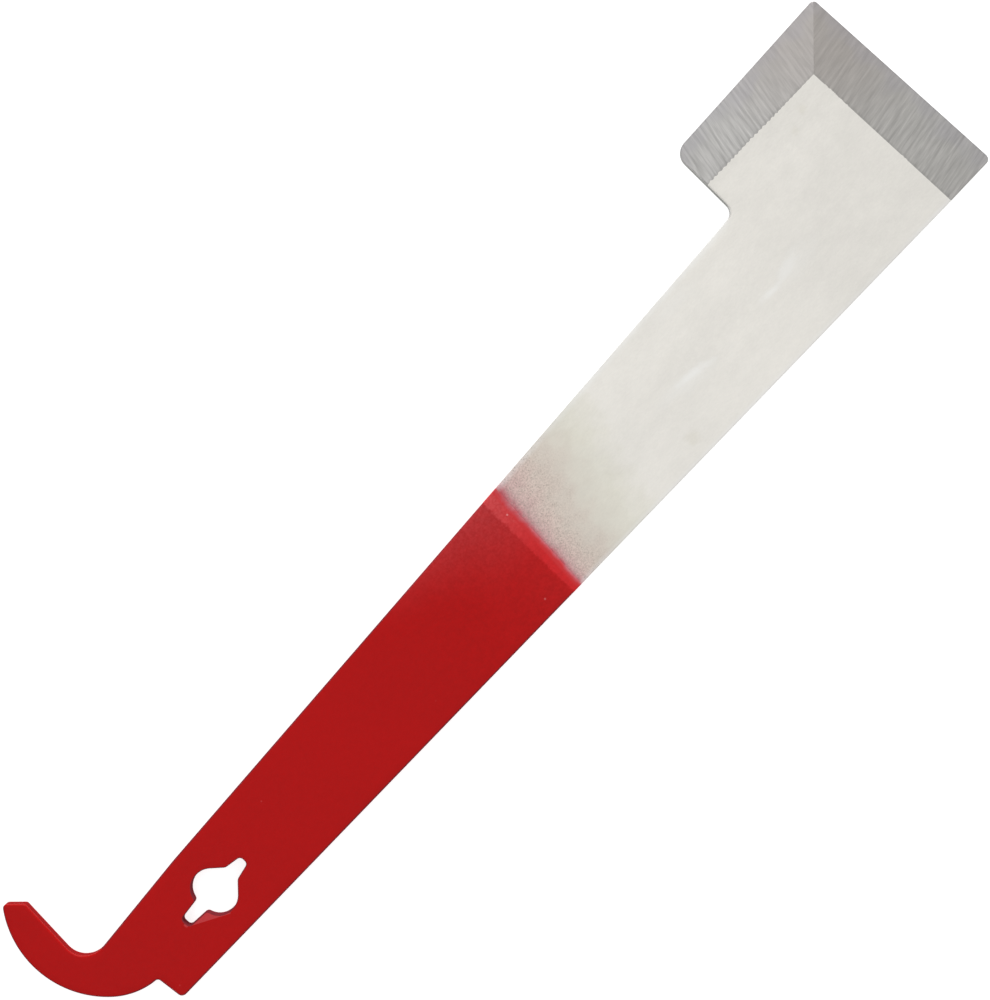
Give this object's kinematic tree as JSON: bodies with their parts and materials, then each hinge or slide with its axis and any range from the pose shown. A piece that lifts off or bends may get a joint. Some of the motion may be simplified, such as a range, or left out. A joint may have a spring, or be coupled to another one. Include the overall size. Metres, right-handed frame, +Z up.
{
  "type": "hive tool",
  "caption": "Flat steel hive tool with a square bevelled scraper head and side blade, a tapering bar, and a red coated handle with a keyhole, a J hook and a heel.",
  "frame": {"origin": "under the middle of the bounding box, on the surface that the tool lies on, back face down", "axes": "+X along the bar towards the scraper head's end edge, +Y towards the side that the side blade and the J hook stand out on, +Z up out of the ground front face"},
  "size_m": [0.2658, 0.0512, 0.003],
  "materials": {
    "bare_steel": "satin tumbled steel with freshly ground grey bevels, light stains and a faint red overspray by the shoulder",
    "red_coat": "semi-gloss red baked coat with a fine orange peel"
  },
  "bodies": {
    "root": {"steel_bar": "bare_steel", "handle_coating": "red_coat"}
  },
  "joints": []
}
